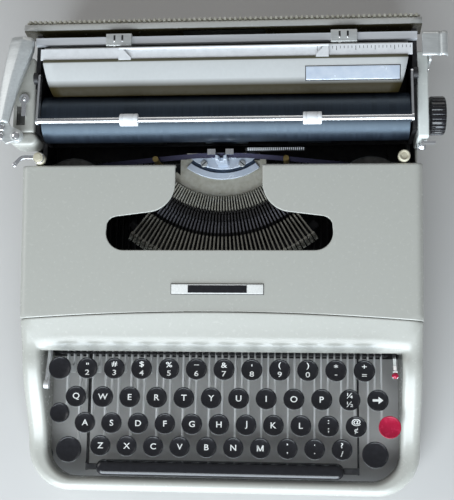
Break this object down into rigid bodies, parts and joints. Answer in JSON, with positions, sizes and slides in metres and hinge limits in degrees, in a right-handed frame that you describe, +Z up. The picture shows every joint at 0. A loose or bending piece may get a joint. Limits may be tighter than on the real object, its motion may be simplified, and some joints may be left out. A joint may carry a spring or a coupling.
{
  "type": "portable typewriter",
  "caption": "Flat portable typewriter: enamelled body with lift-off ribbon cover, round keys on sprung levers, type basket and sliding carriage with platen, bail and return lever.",
  "frame": {"origin": "middle of the footprint, on the table under the rubber feet", "axes": "+Z up, -Y towards the typist, +X to the typist's right"},
  "size_m": [0.3024, 0.322, 0.09],
  "materials": {
    "enamel": "satin enamel",
    "dark_steel": "black japanned",
    "steel": "satin",
    "chrome": "polished",
    "brass": "dull",
    "aluminium_white": "white enamel",
    "rubber": "ground satin",
    "black_plastic": "gloss",
    "red_plastic": "gloss",
    "cream_plastic": "satin",
    "ink_ribbon": "inked cloth"
  },
  "bodies": {
    "frame": {"base_plate": "dark_steel", "base_screws": "steel", "rubber_feet": "rubber", "main_frame": "dark_steel", "body_shell": "enamel", "rear_panel": "enamel", "tab_rack": "steel", "carriage_rails": "chrome", "key_fulcrum_shaft": "steel", "key_guide_comb": "dark_steel", "bell": "chrome", "type_segment": "steel", "typebars": "steel", "typebar_rest": "dark_steel", "segment_plate": "chrome", "line_guide": "steel", "ribbon_guides": "brass", "ribbon_cups": "dark_steel", "ribbon_tape": "ink_ribbon", "cover_posts": "cream_plastic"},
    "cover": {"ribbon_cover": "enamel"},
    "carriage": {"carriage_frame": "dark_steel", "carriage_rack": "steel", "left_end_cover": "enamel", "right_end_plate": "enamel", "paper_table": "enamel", "paper_scale": "aluminium_white", "margin_rail": "steel"},
    "platen": {"platen_roller": "rubber", "platen_shaft": "steel", "platen_knob": "black_plastic"},
    "feed_roller": {"feed_roller": "rubber"},
    "return_lever": {"return_lever": "chrome"},
    "line_space_selector": {"line_space_selector": "chrome"},
    "paper_bail": {"paper_bail": "chrome"},
    "bail_rollers": {"bail_rollers": "chrome"},
    "margin_stop_left": {"margin_stop_left": "steel"},
    "margin_stop_right": {"margin_stop_right": "steel"},
    "paper_support": {"paper_support": "chrome"},
    "paper_release_lever": {"paper_release_lever": "chrome"},
    "carriage_release_lever": {"carriage_release_lever": "chrome"},
    "ribbon_spool_left": {"ribbon_spool_left": "black_plastic"},
    "ribbon_spool_right": {"ribbon_spool_right": "black_plastic"},
    "ribbon_vibrator": {"ribbon_vibrator": "chrome"},
    "centre_typebar": {"centre_typebar": "steel"},
    "ribbon_selector": {"ribbon_selector": "chrome"},
    "tab_set_lever": {"tab_set_lever": "black_plastic"},
    "carriage_lock": {"carriage_lock": "chrome"},
    "escapement_wheel": {"escapement_wheel": "brass"},
    "number_row_keys": {"number_row_keys": "black_plastic"},
    "upper_row_keys": {"upper_row_keys": "black_plastic"},
    "home_row_keys": {"home_row_keys": "black_plastic"},
    "lower_row_keys": {"lower_row_keys": "black_plastic"},
    "centre_key": {"centre_key": "black_plastic"},
    "margin_release_key": {"margin_release_key": "black_plastic"},
    "shift_lock_key": {"shift_lock_key": "black_plastic"},
    "shift_keys": {"shift_keys": "black_plastic"},
    "backspace_key": {"backspace_key": "black_plastic"},
    "tab_key": {"tab_key": "red_plastic"},
    "space_bar": {"space_bar": "black_plastic"}
  },
  "joints": [
    {"name": "carriage_slide", "type": "slide", "parent": "frame", "child": "carriage", "axis": [1, 0, 0], "range_m": [-0.105, 0.105]},
    {"name": "cover_lift", "type": "slide", "parent": "frame", "child": "cover", "axis": [0, 0, 1], "range_m": [0, 0.05]},
    {"name": "platen_turn", "type": "hinge", "parent": "carriage", "child": "platen", "pos_m": [0, 0.0934, 0.062], "axis": [1, 0, 0], "continuous": true},
    {"name": "feed_roller_turn", "type": "hinge", "parent": "carriage", "child": "feed_roller", "pos_m": [0, 0.086, 0.04203], "axis": [1, 0, 0], "continuous": true},
    {"name": "return_lever_swing", "type": "hinge", "parent": "carriage", "child": "return_lever", "pos_m": [-0.136, 0.077, 0.08], "axis": [0, 0, 1], "range_deg": [0, 95]},
    {"name": "line_space_select", "type": "hinge", "parent": "carriage", "child": "line_space_selector", "pos_m": [-0.133, 0.104, 0.0767], "axis": [0, 0, 1], "range_deg": [-12, 12]},
    {"name": "bail_swing", "type": "hinge", "parent": "carriage", "child": "paper_bail", "pos_m": [0, 0.118, 0.0785], "axis": [-1, 0, 0], "range_deg": [0, 60]},
    {"name": "bail_rollers_turn", "type": "hinge", "parent": "paper_bail", "child": "bail_rollers", "pos_m": [0, 0.0872, 0.08159], "axis": [1, 0, 0], "continuous": true},
    {"name": "margin_left_slide", "type": "slide", "parent": "carriage", "child": "margin_stop_left", "axis": [1, 0, 0], "range_m": [-0.035, 0.05]},
    {"name": "margin_right_slide", "type": "slide", "parent": "carriage", "child": "margin_stop_right", "axis": [1, 0, 0], "range_m": [-0.05, 0.035]},
    {"name": "paper_support_fold", "type": "hinge", "parent": "carriage", "child": "paper_support", "pos_m": [0, 0.1368, 0.083], "axis": [-1, 0, 0], "range_deg": [0, 75]},
    {"name": "paper_release_pull", "type": "hinge", "parent": "carriage", "child": "paper_release_lever", "pos_m": [0.14, 0.128, 0.058], "axis": [1, 0, 0], "range_deg": [0, 15]},
    {"name": "carriage_release_pull", "type": "hinge", "parent": "carriage", "child": "carriage_release_lever", "pos_m": [0.1355, 0.0725, 0.06], "axis": [1, 0, 0], "range_deg": [0, 10], "stiffness_Nm_per_rad": 0.05, "springref_deg": -17.19},
    {"name": "spool_left_turn", "type": "hinge", "parent": "frame", "child": "ribbon_spool_left", "pos_m": [-0.1025, 0.044, 0.04], "axis": [0, 0, 1], "continuous": true},
    {"name": "spool_right_turn", "type": "hinge", "parent": "frame", "child": "ribbon_spool_right", "pos_m": [0.1025, 0.044, 0.04], "axis": [0, 0, 1], "continuous": true},
    {"name": "vibrator_rise", "type": "slide", "parent": "frame", "child": "ribbon_vibrator", "axis": [0, 0, 1], "range_m": [0, 0.0091]},
    {"name": "typebar_swing", "type": "hinge", "parent": "frame", "child": "centre_typebar", "pos_m": [0, 0.04, 0.034], "axis": [-1, 0, 0], "range_deg": [0, 142.6]},
    {"name": "ribbon_select", "type": "hinge", "parent": "frame", "child": "ribbon_selector", "pos_m": [0.1175, -0.05, 0.03], "axis": [1, 0, 0], "range_deg": [-8, 8]},
    {"name": "tab_set_press", "type": "hinge", "parent": "frame", "child": "tab_set_lever", "pos_m": [-0.1195, -0.05, 0.03], "axis": [1, 0, 0], "range_deg": [-8, 8], "stiffness_Nm_per_rad": 0.2},
    {"name": "carriage_lock_swing", "type": "hinge", "parent": "frame", "child": "carriage_lock", "pos_m": [-0.1234, 0.0646, 0.07], "axis": [0, 0, -1], "range_deg": [0, 25]},
    {"name": "escapement_turn", "type": "hinge", "parent": "frame", "child": "escapement_wheel", "pos_m": [0, 0.122, 0.02], "axis": [0, 1, 0], "range_deg": [-605, 605]},
    {"name": "number_row_press", "type": "hinge", "parent": "frame", "child": "number_row_keys", "pos_m": [0, 0.07, 0.0185], "axis": [1, 0, 0], "range_deg": [0, 4], "stiffness_Nm_per_rad": 1, "springref_deg": -34.38},
    {"name": "upper_row_press", "type": "hinge", "parent": "frame", "child": "upper_row_keys", "pos_m": [0, 0.07, 0.0185], "axis": [1, 0, 0], "range_deg": [0, 4], "stiffness_Nm_per_rad": 1, "springref_deg": -34.38},
    {"name": "home_row_press", "type": "hinge", "parent": "frame", "child": "home_row_keys", "pos_m": [0, 0.07, 0.0185], "axis": [1, 0, 0], "range_deg": [0, 4], "stiffness_Nm_per_rad": 1, "springref_deg": -34.38},
    {"name": "lower_row_press", "type": "hinge", "parent": "frame", "child": "lower_row_keys", "pos_m": [0, 0.07, 0.0185], "axis": [1, 0, 0], "range_deg": [0, 4], "stiffness_Nm_per_rad": 1, "springref_deg": -34.38},
    {"name": "centre_press", "type": "hinge", "parent": "frame", "child": "centre_key", "pos_m": [0, 0.07, 0.0185], "axis": [1, 0, 0], "range_deg": [0, 4], "stiffness_Nm_per_rad": 0.25, "springref_deg": -34.38},
    {"name": "margin_release_press", "type": "hinge", "parent": "frame", "child": "margin_release_key", "pos_m": [0, 0.07, 0.0185], "axis": [1, 0, 0], "range_deg": [0, 4], "stiffness_Nm_per_rad": 0.25, "springref_deg": -34.38},
    {"name": "shift_lock_press", "type": "hinge", "parent": "frame", "child": "shift_lock_key", "pos_m": [0, 0.07, 0.0185], "axis": [1, 0, 0], "range_deg": [0, 4], "stiffness_Nm_per_rad": 0.25, "springref_deg": -34.38},
    {"name": "shift_press", "type": "hinge", "parent": "frame", "child": "shift_keys", "pos_m": [0, 0.07, 0.0185], "axis": [1, 0, 0], "range_deg": [0, 4], "stiffness_Nm_per_rad": 1, "springref_deg": -34.38},
    {"name": "backspace_press", "type": "hinge", "parent": "frame", "child": "backspace_key", "pos_m": [0, 0.07, 0.0185], "axis": [1, 0, 0], "range_deg": [0, 4], "stiffness_Nm_per_rad": 0.25, "springref_deg": -34.38},
    {"name": "tab_press", "type": "hinge", "parent": "frame", "child": "tab_key", "pos_m": [0, 0.07, 0.0185], "axis": [1, 0, 0], "range_deg": [0, 4], "stiffness_Nm_per_rad": 0.25, "springref_deg": -34.38},
    {"name": "space_bar_press", "type": "hinge", "parent": "frame", "child": "space_bar", "pos_m": [0, 0.07, 0.0185], "axis": [1, 0, 0], "range_deg": [0, 4], "stiffness_Nm_per_rad": 1, "springref_deg": -34.38}
  ],
  "couplings": [
    {"joint": "feed_roller_turn", "follows": "platen_turn", "ratio": -3.2},
    {"joint": "spool_right_turn", "follows": "spool_left_turn", "ratio": 1},
    {"joint": "vibrator_rise", "follows": "centre_press", "m_per_rad": 0.1289},
    {"joint": "typebar_swing", "follows": "centre_press", "ratio": 35.6},
    {"joint": "escapement_turn", "follows": "carriage_slide", "rad_per_m": 100}
  ]
}
